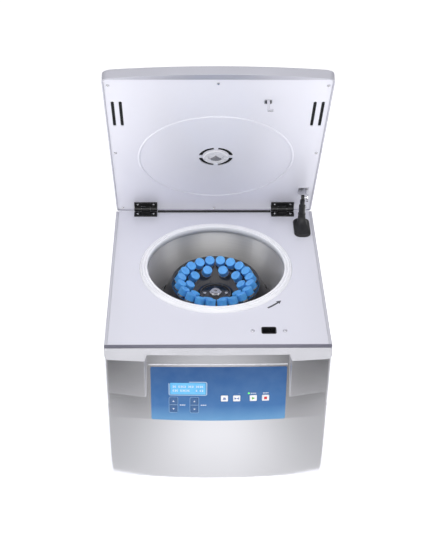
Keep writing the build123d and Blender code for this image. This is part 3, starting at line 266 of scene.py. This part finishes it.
# Flat prints, a grey fan mark and the black of painted shade behind the lid's cut-outs, which only mesh pieces
# use, in the order of MOTTLED's rows.
PRINTS = {
    "white_print": ((0.78, 0.82, 0.88), 0.03, 90.0, (0.35, 0.45), {"bump": 0.05, "edge": 0}),
    "pale_print": ((0.36, 0.52, 0.72), 0.05, 90.0, (0.35, 0.45), {"bump": 0.05, "edge": 0}),
    "blue_print": ((0.05, 0.12, 0.38), 0.05, 90.0, (0.35, 0.45), {"bump": 0.05, "edge": 0}),
    "green_print": ((0.13, 0.50, 0.07), 0.05, 90.0, (0.35, 0.45), {"bump": 0.05, "edge": 0}),
    "red_print": ((0.62, 0.02, 0.03), 0.05, 90.0, (0.35, 0.45), {"bump": 0.05, "edge": 0}),
    # painted shade: black for the sheet behind the lid's cut-outs, where the inside of the lid is in shade
    "dark_foam": ((0.006, 0.006, 0.007), 0.3, 60.0, (0.7, 0.85), {"grain": 500.0, "bump": 0.2, "edge": 0}),
    "fan_grey": ((0.20, 0.20, 0.22), 0.08, 60.0, (0.35, 0.5), {"edge": 0}),
}


def membrane_blue():
    """Film whose blue runs by height from dark at the top to pale at the bottom."""
    p = Paint("membrane_blue")
    height = p.axis("Z")
    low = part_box("keypad_membrane")[0].z
    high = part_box("keypad_membrane")[1].z
    fall = p.span(height, 0.0, 1.0, low, high)
    steps = [(0.0, (0.13, 0.32, 0.57)), (0.28, (0.042, 0.155, 0.39)), (1.0, (0.022, 0.085, 0.25))]
    tone = p.ramp(fall, steps)
    p.colour(p.mix(p.span(p.noise(30.0, 4.0), 0.0, 0.06), tone, (0.4, 0.6, 0.8)))
    p.rough(p.span(p.noise(50.0, 5.0), 0.34, 0.42))
    p.set(Specular_IOR_Level=0.25)
    p.bump(p.noise(1500.0, 2.0), 0.03, normal=p.rounded(0.0005))
    return p


def display_glass():
    p = Paint("display_glass")
    glow = p.ramp(p.noise(45.0, 3.0), [(0.3, (0.10, 0.40, 0.72)), (0.7, (0.14, 0.48, 0.80))])
    p.colour(glow)
    p.link(glow, p.shader.inputs["Emission Color"])
    p.set(Emission_Strength=0.15, Coat_Weight=0.3)
    p.rough(p.span(p.noise(80.0, 3.0), 0.08, 0.16))
    p.bump(p.noise(900.0, 2.0), 0.02, normal=p.rounded(0.0004))
    return p


def led_green():
    p = Paint("led_green")
    glow = p.ramp(p.noise(300.0, 2.0), [(0.3, (0.10, 0.72, 0.10)), (0.7, (0.22, 0.9, 0.2))])
    p.colour(glow)
    p.link(glow, p.shader.inputs["Emission Color"])
    p.set(Emission_Strength=0.8)
    p.rough(p.span(p.noise(300.0, 3.0), 0.1, 0.2))
    return p


def tube_plastic():
    p = Paint("tube_plastic")
    p.colour(p.ramp(p.noise(60.0, 3.0), [(0.3, (0.60, 0.66, 0.74)), (0.7, (0.80, 0.84, 0.90))]))
    p.set(Transmission_Weight=0.75, IOR=1.4)
    p.rough(p.span(p.noise(90.0, 3.0), 0.16, 0.28))
    p.bump(p.noise(400.0, 2.0), 0.04)
    return p


def cap_blue():
    p = Paint("cap_blue")
    p.colour(p.ramp(p.noise(70.0, 4.0), [(0.3, (0.085, 0.36, 0.82)), (0.7, (0.12, 0.45, 0.92))]))
    p.set(Subsurface_Weight=0.15, Subsurface_Scale=0.003, Subsurface_Radius=(0.2, 0.5, 1.0))
    p.set(Coat_Weight=0.35, Coat_Roughness=0.18)
    p.rough(p.span(p.noise(120.0, 4.0), 0.28, 0.40))
    p.bump(p.noise(1200.0, 2.0), 0.06)
    return p


def make_materials():
    made = {}
    for name, (colour, spread, scale, rough, settings) in {**MOTTLED, **PRINTS}.items():
        made[name] = mottled(name, colour, spread, scale, rough, **settings)
    for name, row in BRUSHED.items():
        made[name] = brushed(name, *row)
    for name, row in POLISHED.items():
        made[name] = polished(name, *row)
    made["stainless"] = bowl_steel()
    for special in (membrane_blue, display_glass, led_green, tube_plastic, cap_blue):
        made[special.__name__] = special()
    return made


paints = make_materials()
for name, node in nodes.items():
    node.data.materials.clear()
    node.data.materials.append(paints[slot_of[name]].mat)

# ---------------------------------------------------------------- mesh helpers


def add_piece(name, bm, paint, body, smooth=False, bevel=0.0, subdivide=0):
    mesh = bpy.data.meshes.new(name)
    bmesh.ops.recalc_face_normals(bm, faces=bm.faces)
    bm.to_mesh(mesh)
    bm.free()
    obj = bpy.data.objects.new(name, mesh)
    sc.collection.objects.link(obj)
    mesh.materials.append(paint.mat)
    if smooth:
        for polygon in mesh.polygons:
            polygon.use_smooth = True
    if bevel:
        modifier = obj.modifiers.new("edges", "BEVEL")
        modifier.width = bevel
        modifier.segments = 2
        modifier.limit_method = "ANGLE"
        modifier.angle_limit = math.radians(35)
    if subdivide:
        modifier = obj.modifiers.new("round", "SUBSURF")
        modifier.levels = subdivide
        modifier.render_levels = subdivide
    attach(obj, body)
    return obj


def rounded_loop(width, height, radius, steps=6, cx=0.0, cy=0.0):
    points = []
    for corner, (sx, sy) in enumerate(((1, 1), (-1, 1), (-1, -1), (1, -1))):
        for i in range(steps + 1):
            angle = math.pi / 2 * (corner + i / steps)
            x = sx * (width / 2 - radius) + radius * math.cos(angle)
            y = sy * (height / 2 - radius) + radius * math.sin(angle)
            points.append((cx + x, cy + y))
    return points


def add_slab(bm, matrix, outline, z0, z1):
    """A flat shape between two heights of a local frame, in millimetres."""
    low = [bm.verts.new(matrix @ (Vector((x, y, z0)) * MM)) for x, y in outline]
    high = [bm.verts.new(matrix @ (Vector((x, y, z1)) * MM)) for x, y in outline]
    bm.faces.new(low)
    bm.faces.new(high)
    count = len(outline)
    for i in range(count):
        j = (i + 1) % count
        bm.faces.new((low[i], low[j], high[j], high[i]))


def add_band(bm, matrix, outer, inner, z0, z1):
    """A flat ring between two outlines with the same number of points."""
    rows = []
    for outline, z in ((outer, z0), (outer, z1), (inner, z1), (inner, z0)):
        rows.append([bm.verts.new(matrix @ (Vector((x, y, z)) * MM)) for x, y in outline])
    count = len(outer)
    for k in range(4):
        a, b = rows[k], rows[(k + 1) % 4]
        for i in range(count):
            j = (i + 1) % count
            bm.faces.new((a[i], a[j], b[j], b[i]))


def add_turned(bm, matrix, profile, steps, wave=None):
    """A shape turned round local Z from (radius, height) pairs in millimetres.

    wave changes a radius by angle.
    """
    rings = []
    for index, (radius, height) in enumerate(profile):
        if radius < 1e-6:
            rings.append([bm.verts.new(matrix @ (Vector((0, 0, height)) * MM))])
            continue
        ring = []
        for i in range(steps):
            angle = 2 * math.pi * i / steps
            r = radius + (wave(index, i) if wave else 0.0)
            point = Vector((r * math.cos(angle), r * math.sin(angle), height))
            ring.append(bm.verts.new(matrix @ (point * MM)))
        rings.append(ring)
    for a, b in zip(rings, rings[1:]):
        for i in range(steps):
            j = (i + 1) % steps
            if len(a) == 1:
                bm.faces.new((a[0], b[i], b[j]))
            elif len(b) == 1:
                bm.faces.new((a[i], a[j], b[0]))
            else:
                bm.faces.new((a[i], a[j], b[j], b[i]))


# ---------------------------------------------------------------- tube caps
CHAMBER_Y = 253.0
TILT = math.radians(30.0)
OUTER = (20, 70.0, 31.0)
INNER = (10, 51.5, 42.0)
PICKED = 12
RIBS = 30


def seat(ring, index):
    """The frame at a cap's top: local Z points out of the tube."""
    count, radius, drop = ring
    angle = math.radians(90 + 180 / count + 360 / count * index)
    turn = Matrix.Rotation(angle, 4, "Z")
    out = Matrix.Translation(Vector((radius, 0, -drop)) * MM) @ Matrix.Rotation(-TILT, 4, "Y")
    return Matrix.Translation(deck_point(0, CHAMBER_Y, 0)) @ turn @ out


def cap_wave(index, step):
    return -0.45 if 4 <= index <= 7 and step % 4 >= 2 else 0.0


CAP_PROFILE = [
    (0.0, -0.55), (6.6, -0.55), (7.3, -0.02), (8.9, 0.0), (9.9, -0.45), (10.25, -1.5), (10.25, -6.0),
    (10.25, -12.6), (10.3, -13.2), (10.3, -14.0), (8.5, -14.0),
]


def add_cap(bm, matrix, spin):
    place = matrix @ Matrix.Rotation(spin, 4, "Z")
    add_turned(bm, place, CAP_PROFILE, 4 * RIBS, cap_wave)
    for offset in (-1.9, 1.9):
        bar = rounded_loop(1.1, 9.6 - abs(offset), 0.5, 3, offset, 0.0)
        add_slab(bm, place, bar, -0.7, -0.05)


bm = bmesh.new()
for index in range(OUTER[0]):
    if index != PICKED:
        add_cap(bm, seat(OUTER, index), 0.7 * index)
for index in range(INNER[0]):
    add_cap(bm, seat(INNER, index), 1.1 * index + 0.4)
rack = add_piece("ribbed_caps", bm, paints["cap_blue"], "rotor")
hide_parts("rack_caps")
bm = bmesh.new()
add_cap(bm, seat(OUTER, PICKED), 0.7 * PICKED)
picked = add_piece("ribbed_cap_picked", bm, paints["cap_blue"], "picked_tube")
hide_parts("pick_cap")

# ---------------------------------------------------------------- key panel print
HALF = 215.0
BOW_EDGE = 12.0
BOW_SAG = 15.0
BAND_DROP = 168.0
CONSOLE_TOP_Y = 9.4
CONSOLE_TOP_DROP = 16.0
MEMBRANE_FACE = 0.7
KEY_FACE = 1.4
WINDOW_FACE = 1.0
PRINT_EDGE = 0.00006


def panel(x, drop):
    """The frame on the console: local X across, local Y up the slope, local Z out of the panel."""
    bow = BOW_EDGE + BOW_SAG * (1 - (x / HALF) ** 2)
    run = BAND_DROP - CONSOLE_TOP_DROP
    depth = CONSOLE_TOP_Y + (bow - CONSOLE_TOP_Y) * (drop - CONSOLE_TOP_DROP) / run
    tilt = math.atan2(bow - CONSOLE_TOP_Y, run)
    turn = math.atan(2 * BOW_SAG * x / HALF ** 2 * 0.6)
    spin = Matrix.Rotation(turn, 4, "Z") @ Matrix.Rotation(math.pi / 2 - tilt, 4, "X")
    return Matrix.Translation(deck_point(x, -depth, -drop)) @ spin


SQUARE_X = {"key_light": 12.6, "key_pulse": 36.2, "key_start": 68.1, "key_stop": 91.8}
SQUARE_DROP = 115.5
ARROW_X = {"key_speed": -85.4, "key_time": -45.1}
ARROW_DROPS = {"_up": 122.0, "_down": 140.2}
ARROW_MIDDLE = 131.1
WINDOW_SPOT = (-57.5, 93.0)

ICONS = {
    "key_light": (
        "blue_print",
        [rounded_loop(6.4, 1.5, 0.6, 3, 0, -1.9), rounded_loop(5.0, 2.6, 1.2, 4, 0, 0.9)],
    ),
    "key_pulse": (
        "blue_print",
        [[(-4.2, 2.6), (-4.2, -2.6), (-0.2, 0.0)], [(4.2, 2.6), (0.2, 0.0), (4.2, -2.6)]],
    ),
    "key_start": ("green_print", [[(-2.6, 3.2), (-2.6, -3.2), (3.4, 0.0)]]),
    "key_stop": ("red_print", [rounded_loop(5.8, 5.8, 0.4, 2)]),
}
for name, (paint, shapes) in ICONS.items():
    place = panel(SQUARE_X[name], SQUARE_DROP)
    bm = bmesh.new()
    for outline in shapes:
        add_slab(bm, place, outline, KEY_FACE - 0.05, KEY_FACE + 0.12)
    add_piece(name + "_icon", bm, paints[paint], name)

for name, x in ARROW_X.items():
    for row, drop in ARROW_DROPS.items():
        up = 1.0 if row == "_up" else -1.0
        bm = bmesh.new()
        arrow = [(-1.9, -1.3 * up), (1.9, -1.3 * up), (0.0, 1.9 * up)]
        add_slab(bm, panel(x, drop), arrow, KEY_FACE - 0.05, KEY_FACE + 0.12)
        add_piece(name + row + "_icon", bm, paints["white_print"], name + row)

bm = bmesh.new()
low, high = MEMBRANE_FACE - 0.1, MEMBRANE_FACE + 0.12
for name, x in ARROW_X.items():
    place = panel(x, ARROW_MIDDLE)
    add_band(bm, place, rounded_loop(17.6, 37.4, 3.6), rounded_loop(16.4, 36.2, 3.0), low, high)
    bar = rounded_loop(14.6, 1.0, 0.3, 2)
    add_slab(bm, place, bar, low, high)
add_band(bm, panel(*WINDOW_SPOT), rounded_loop(74.0, 32.0, 4.2), rounded_loop(70.0, 28.4, 2.4), low, high)
add_piece("panel_outlines", bm, paints["pale_print"], "root", bevel=PRINT_EDGE)

bm = bmesh.new()
for x in SQUARE_X.values():
    place = panel(x, SQUARE_DROP - 11.2)
    for offset, width in ((-3.4, 3.6), (0.9, 3.0), (4.2, 2.2)):
        add_slab(bm, place, rounded_loop(width, 1.7, 0.3, 2, offset, 0), low, high)
for x in ARROW_X.values():
    place = panel(x + 17.4, ARROW_MIDDLE)
    for offset, width in ((-3.6, 3.4), (0.6, 3.4), (4.2, 2.2)):
        add_slab(bm, place, rounded_loop(width, 1.8, 0.3, 2, offset, 0), low, high)
add_piece("panel_marks", bm, paints["white_print"], "root", bevel=PRINT_EDGE)

bm = bmesh.new()
CELLS = ("1101111011101111", "1110111110001011")
CELL_PITCH = 3.7
ROW_PITCH = 9.2
place = panel(*WINDOW_SPOT)
low, high = WINDOW_FACE - 0.1, WINDOW_FACE + 0.1
for row, cells in enumerate(CELLS):
    for column, cell in enumerate(cells):
        if cell == "1":
            cx = (column - 7.5) * CELL_PITCH
            cy = ROW_PITCH / 2 - ROW_PITCH * row
            side = -0.8 if (column + row) % 2 else 0.8
            add_slab(bm, place, rounded_loop(2.5, 1.1, 0.3, 2, cx, cy + 1.7), low, high)
            add_slab(bm, place, rounded_loop(2.5, 1.1, 0.3, 2, cx, cy - 1.3), low, high)
            add_slab(bm, place, rounded_loop(0.9, 3.6, 0.3, 2, cx + side, cy + 0.2), low, high)
add_piece("display_cells", bm, paints["white_print"], "root")

# ---------------------------------------------------------------- bowl gasket
SEAL_INNER = 140.0
SEAL_OUTER = 156.5
SEAL_STEPS = 44
SEAL_FOOT = -7.0
SEAL_LEG = 3.2


def seal_height(radius):
    """Height of the seal's top: a dome with two grooves and a rolled inner lip."""
    share = (SEAL_OUTER - radius) / (SEAL_OUTER - SEAL_INNER)
    dome = 6.4 * math.sin(math.pi / 2 * min(1.0, share * 3.2)) ** 0.6
    groove = 3.0 * math.exp(-((radius - 151.6) / 0.9) ** 2) + 2.6 * math.exp(-((radius - 145.6) / 0.8) ** 2)
    lip = 2.6 * max(0.0, (share - 0.9) / 0.1) ** 2
    return max(0.2, dome - groove - lip)


profile = []
for step in range(SEAL_STEPS + 1):
    radius = SEAL_OUTER - (SEAL_OUTER - SEAL_INNER) * step / SEAL_STEPS
    profile.append((radius, seal_height(radius)))
profile += [
    (SEAL_INNER, SEAL_FOOT),
    (SEAL_INNER + SEAL_LEG, SEAL_FOOT),
    (SEAL_INNER + SEAL_LEG, 0.0),
    (SEAL_OUTER, 0.0),
    profile[0],
]
bm = bmesh.new()
add_turned(bm, Matrix.Translation(deck_point(0, CHAMBER_Y, 0)), profile, 180)
bmesh.ops.remove_doubles(bm, verts=bm.verts, dist=1e-6)
seal = add_piece("turned_gasket", bm, paints["white_seal"], "root", smooth=True)
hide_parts("bowl_gasket")

# ---------------------------------------------------------------- painted shade behind the lid's cut-outs
HINGE = deck_point(0, 465, 6)
OPEN_ANGLE = math.radians(-60.6)
LID = Matrix.Translation(HINGE) @ Matrix.Rotation(OPEN_ANGLE, 4, "X")
PORT_Y = -213.7
SLOT_BACKS = (-190.9, 191.7)
SLOT_Y = -373.5
CUTOUT_SHADE_Z0 = 8.0
CUTOUT_SHADE_Z1 = 9.0

# A black sheet behind the lid's two slots and round the port stands in for the shade inside the lid: painted
# shade, so the cut-outs read black.
bm = bmesh.new()
for x in SLOT_BACKS:
    add_slab(bm, LID, rounded_loop(27.0, 91.0, 4.0, 4, x, SLOT_Y), CUTOUT_SHADE_Z0, CUTOUT_SHADE_Z1)
ring = LID @ Matrix.Translation(Vector((0, PORT_Y, 0)) * MM)
outer, inner = (
    [(r * math.cos(math.pi * i / 32), r * math.sin(math.pi * i / 32)) for i in range(64)] for r in (38.0, 24.0)
)
add_band(bm, ring, outer, inner, CUTOUT_SHADE_Z0, CUTOUT_SHADE_Z1)
add_piece("lid_foam", bm, paints["dark_foam"], "lid", bevel=0.0002)

# The port's lens carries a grey fan shape.
bm = bmesh.new()
FAN_POINT = -9.0
fan = [(0.0, FAN_POINT)]
for step in range(12):
    angle = math.radians(-44 + 8 * step)
    fan.append((16.0 * math.sin(angle), FAN_POINT + 17.0 * math.cos(angle)))
add_slab(bm, ring, fan, 0.9, 4.5)
add_piece("port_fan", bm, paints["fan_grey"], "lid", bevel=0.0002)

# ---------------------------------------------------------------- strut boot collar
# Each row: height above the deck, middle x, middle y, half width, half length, corner share.
COLLAR = [
    (0.8, 187.6, 396.0, 15.6, 31.0, 0.70),
    (4.4, 187.6, 396.2, 15.6, 30.8, 0.75),
    (5.8, 187.6, 397.4, 14.4, 28.6, 0.90),
    (6.8, 187.7, 401.5, 11.6, 21.0, 1.0),
    (8.6, 187.8, 407.0, 9.8, 14.8, 1.0),
    (12.0, 187.9, 411.8, 8.8, 10.8, 1.0),
    (17.0, 188.0, 415.4, 8.1, 8.8, 1.0),
    (22.0, 188.0, 417.0, 7.7, 7.8, 1.0),
    (23.4, 188.0, 417.2, 8.3, 8.3, 1.0),
    (25.0, 188.0, 417.3, 8.3, 8.3, 1.0),
    (25.6, 188.0, 417.4, 7.5, 7.5, 1.0),
    (25.0, 188.0, 417.4, 6.6, 6.6, 1.0),
]
bm = bmesh.new()
rows = []
for z, x, y, half_x, half_y, share in COLLAR:
    corner = min(half_x, half_y) * share - 0.01
    outline = rounded_loop(2 * half_x, 2 * half_y, corner, 10, x, y)
    rows.append([bm.verts.new(deck_point(px, py, z)) for px, py in outline])
bm.faces.new(rows[0])
bm.faces.new(rows[-1])
for a, b in zip(rows, rows[1:]):
    for i in range(len(a)):
        j = (i + 1) % len(a)
        bm.faces.new((a[i], a[j], b[j], b[i]))
collar = add_piece("strut_collar", bm, paints["black_rubber"], "root", smooth=True)
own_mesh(collar)

# ---------------------------------------------------------------- floor, light, camera
bm = bmesh.new()
FLOOR_STEPS = 64
centre = bm.verts.new((0, 0, 0))
rings = []
for radius in (0.8, 2.0, 4.0, 9.0):
    loop = []
    for i in range(FLOOR_STEPS):
        angle = 2 * math.pi * i / FLOOR_STEPS
        loop.append(bm.verts.new((radius * math.cos(angle), radius * math.sin(angle), 0)))
    rings.append(loop)
for i in range(FLOOR_STEPS):
    j = (i + 1) % FLOOR_STEPS
    bm.faces.new((centre, rings[0][i], rings[0][j]))
    for a, b in zip(rings, rings[1:]):
        bm.faces.new((a[i], b[i], b[j], a[j]))
floor_mesh = bpy.data.meshes.new("floor")
bm.to_mesh(floor_mesh)
bm.free()
floor = bpy.data.objects.new("floor", floor_mesh)
sc.collection.objects.link(floor)
floor_paint = Paint("floor_white")
tone = floor_paint.noise(3.0, 3.0)
floor_paint.colour(floor_paint.ramp(tone, [(0.3, (0.93, 0.93, 0.93)), (0.7, (0.95, 0.95, 0.95))]))
floor_paint.set(Roughness=0.7, Emission_Color=(1, 1, 1, 1), Emission_Strength=0.55)
floor_mesh.materials.append(floor_paint.mat)

world = bpy.data.worlds.new("studio")
sc.world = world
world.use_nodes = True
tree = world.node_tree
back = tree.nodes["Background"]
coord = tree.nodes.new("ShaderNodeTexCoord")
split = tree.nodes.new("ShaderNodeSeparateXYZ")
ramp = tree.nodes.new("ShaderNodeValToRGB")
tree.links.new(coord.outputs["Generated"], split.inputs["Vector"])
tree.links.new(split.outputs["Z"], ramp.inputs["Fac"])
ramp.color_ramp.elements[0].position = 0.0
ramp.color_ramp.elements[0].color = (0.34, 0.34, 0.36, 1)
ramp.color_ramp.elements[1].position = 0.7
ramp.color_ramp.elements[1].color = (0.85, 0.85, 0.88, 1)
tree.links.new(ramp.outputs["Color"], back.inputs["Color"])
back.inputs["Strength"].default_value = 0.6


def softbox(name, place, target, size, power, colour=(1, 1, 1)):
    data = bpy.data.lights.new(name, "AREA")
    data.shape = "RECTANGLE"
    data.size, data.size_y = size
    data.energy = power
    data.color = colour
    obj = bpy.data.objects.new(name, data)
    sc.collection.objects.link(obj)
    obj.location = place
    obj.rotation_euler = (Vector(target) - Vector(place)).to_track_quat("-Z", "Y").to_euler()
    return obj


def greys(*steps):
    return [(place, (tone,) * 3) for place, tone in steps]


def front_card():
    """A studio card that only glossy surfaces see: bright near the machine and in the middle, dim beyond."""
    bm = bmesh.new()
    corners = [(-1.8, -0.262, 0.004), (1.8, -0.262, 0.004), (1.8, -2.4, 0.004), (-1.8, -2.4, 0.004)]
    bm.faces.new([bm.verts.new(c) for c in corners])
    mesh = bpy.data.meshes.new("front_card")
    bm.to_mesh(mesh)
    bm.free()
    obj = bpy.data.objects.new("front_card", mesh)
    sc.collection.objects.link(obj)
    paint = Paint("front_card")
    reach = paint.span(paint.axis("Y"), 0.0, 1.0, -0.275, -1.275)
    middle = paint.ramp(reach, greys((0.0, 0.98), (0.12, 1.18), (0.30, 1.10), (0.75, 0.50)))
    edges = paint.ramp(reach, greys((0.0, 0.66), (0.20, 0.58), (0.28, 0.20), (0.42, 0.03)))
    side = paint.new("ShaderNodeMath")
    side.operation = "ABSOLUTE"
    paint.link(paint.axis("X"), side.inputs[0])
    spread = paint.new("ShaderNodeMapRange")
    spread.interpolation_type = "SMOOTHSTEP"
    spread.inputs["From Min"].default_value = 0.02
    spread.inputs["From Max"].default_value = 0.26
    paint.link(side.outputs[0], spread.inputs["Value"])
    tone = paint.mix(spread.outputs["Result"], middle, edges)
    paint.set(Base_Color=(0, 0, 0, 1), Roughness=1.0, Emission_Strength=1.0, Specular_IOR_Level=0.0)
    paint.link(tone, paint.shader.inputs["Emission Color"])
    mesh.materials.append(paint.mat)
    obj.visible_camera = False
    obj.visible_diffuse = False
    obj.visible_shadow = False
    obj.visible_transmission = False


front_card()

softbox("top_light", (0.0, -1.1, 2.5), (0, 0, 0.3), (2.4, 1.6), 24.0, (1.0, 1.0, 1.0))
softbox("left_light", (-2.0, -0.5, 1.3), (0, 0, 0.4), (0.9, 1.8), 9.0, (0.97, 0.98, 1.0))
softbox("right_light", (2.0, -0.4, 1.3), (0, 0, 0.4), (0.9, 1.8), 7.0, (0.97, 0.98, 1.0))
softbox("front_light", (0.0, -2.9, 1.3), (0, 0, 0.4), (3.0, 1.4), 16.0, (1.0, 1.0, 1.0))

camera_data = bpy.data.cameras.new("camera")
camera = bpy.data.objects.new("camera", camera_data)
sc.collection.objects.link(camera)
sc.camera = camera
PHOTO_HEIGHT = 550
FOCAL_PIXELS = 1193.372
camera_data.sensor_width = 36.0
camera_data.lens = FOCAL_PIXELS * camera_data.sensor_width / PHOTO_HEIGHT
camera.location = deck_point(-50.81, -1746.046, 1414.944)
yaw, pitch, roll = (math.radians(v) for v in (1.558, 35.668, 0.767))
turn = Matrix.Rotation(-yaw, 4, "Z") @ Matrix.Rotation(math.pi / 2 - pitch, 4, "X")
turn = turn @ Matrix.Rotation(roll, 4, "Z")
camera.rotation_euler = turn.to_euler()
camera_data.clip_start = 0.05
camera_data.clip_end = 50.0
sc.view_settings.view_transform = "Standard"
